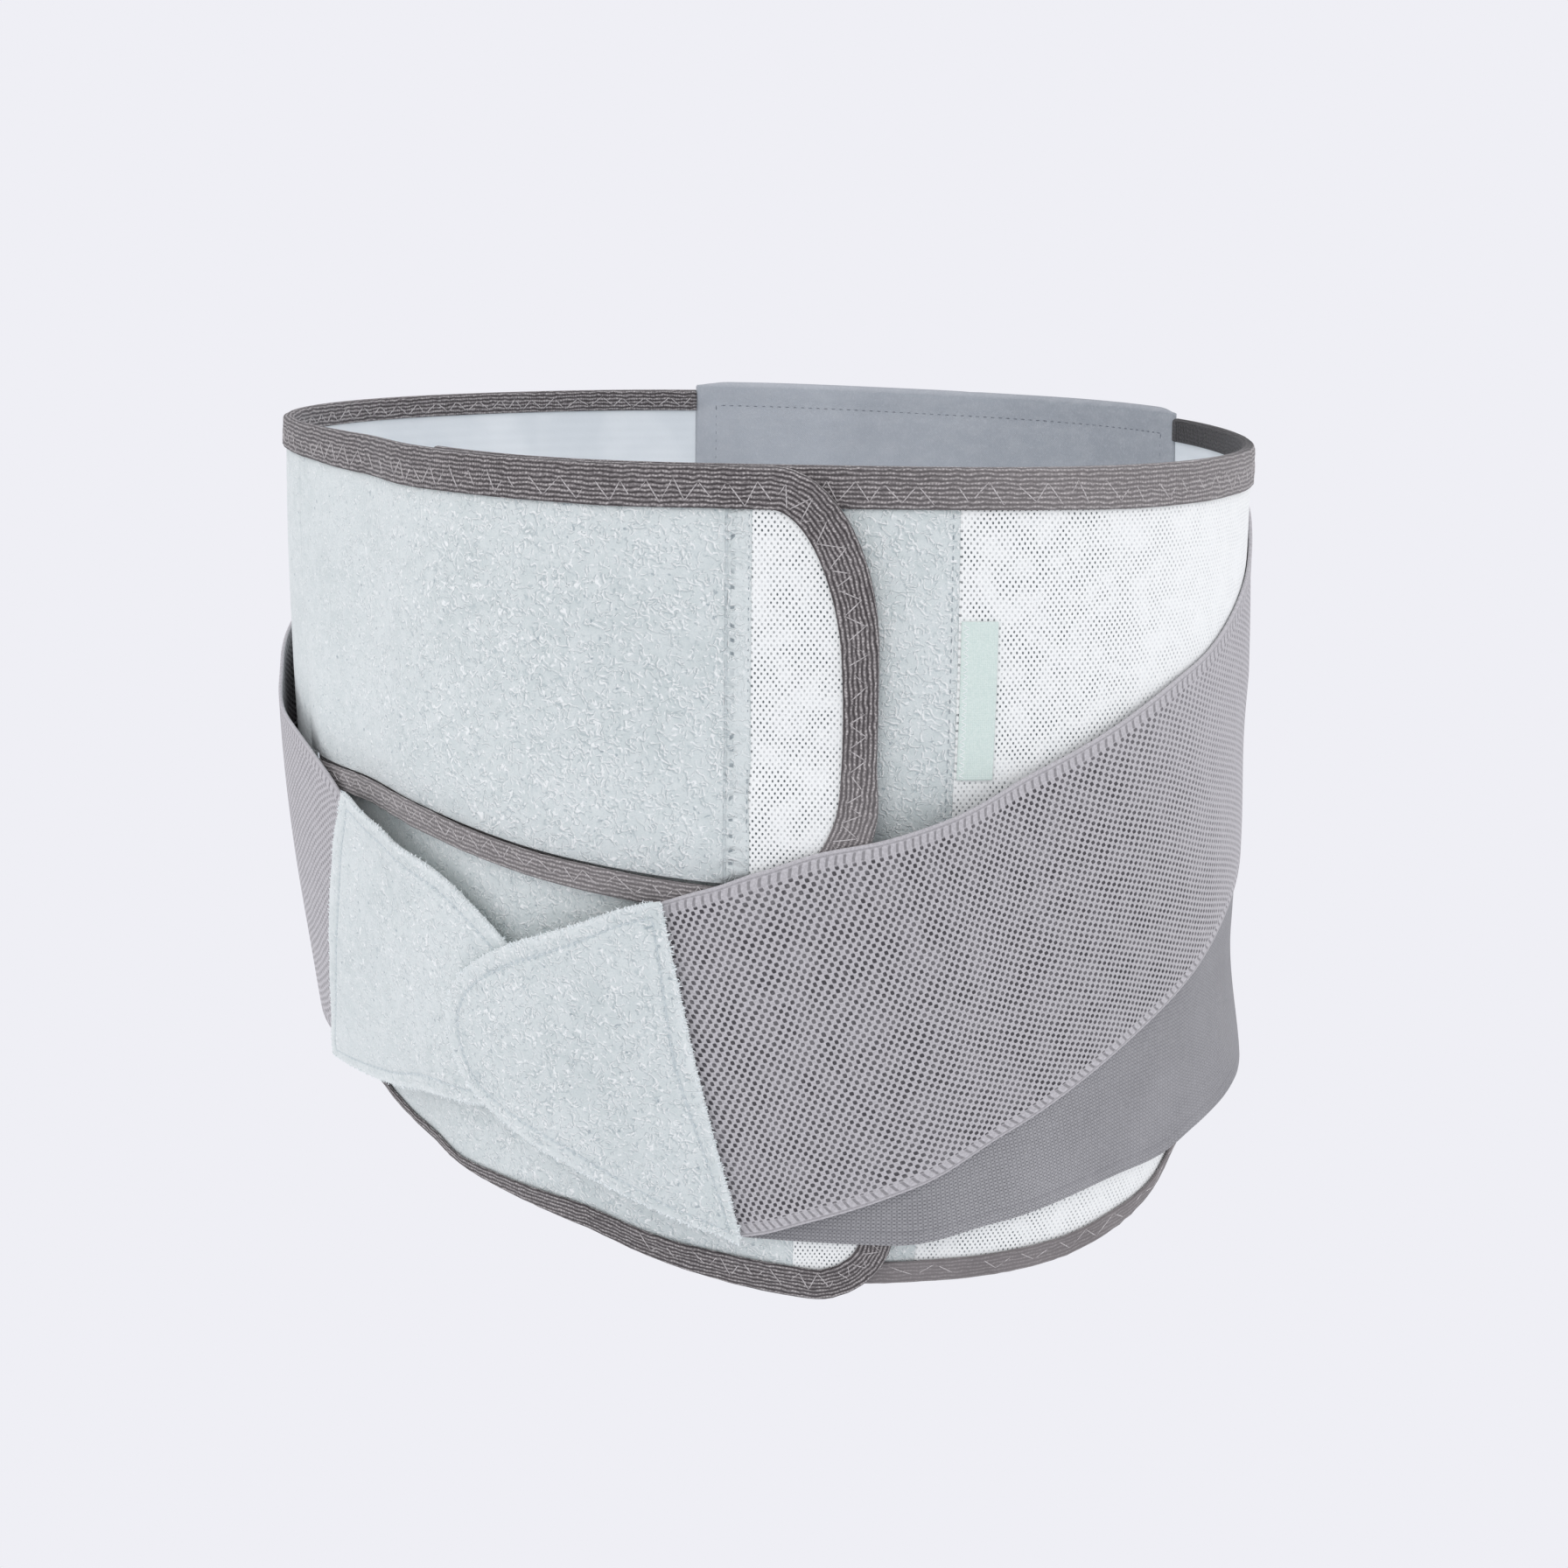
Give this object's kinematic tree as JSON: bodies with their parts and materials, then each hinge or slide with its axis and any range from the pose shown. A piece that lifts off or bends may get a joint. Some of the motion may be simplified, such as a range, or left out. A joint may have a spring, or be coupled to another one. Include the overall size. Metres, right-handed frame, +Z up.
{
  "type": "trunk compression binder",
  "caption": "Elastic lumbar and abdominal binder, closed as worn, with overlapping front tongues, net and plain pull straps ending in loop-faced tabs, and a padded back panel.",
  "frame": {"origin": "middle of the space for the trunk, halfway down the height at the belly", "axes": "+Z up along the trunk, -Y toward the belly, +X toward the wearer's left"},
  "size_m": [0.3272, 0.2654, 0.2497],
  "materials": {
    "fleece": "brushed loop fleece",
    "mesh": "knitted mesh",
    "tape": "ribbed elastic tape",
    "net": "elastic net",
    "plain": "dense woven elastic",
    "pad": "smooth laminated fabric",
    "label": "satin"
  },
  "bodies": {
    "root": {"back_panel": "pad", "left_front_panel": "fleece", "left_side_panel": "mesh", "left_top_tape": "tape", "left_bottom_tape": "tape", "right_side_panel": "mesh", "right_upper_panel": "fleece", "upper_tongue_end": "mesh", "right_lower_panel": "fleece", "lower_tongue_end": "mesh", "upper_tongue_tape": "tape", "lower_tongue_tape": "tape", "left_plain_strap": "plain", "left_net_strap": "net", "right_plain_strap": "plain", "right_net_strap": "net", "right_tab": "fleece", "left_tab": "fleece", "seam_label": "label"}
  },
  "joints": []
}
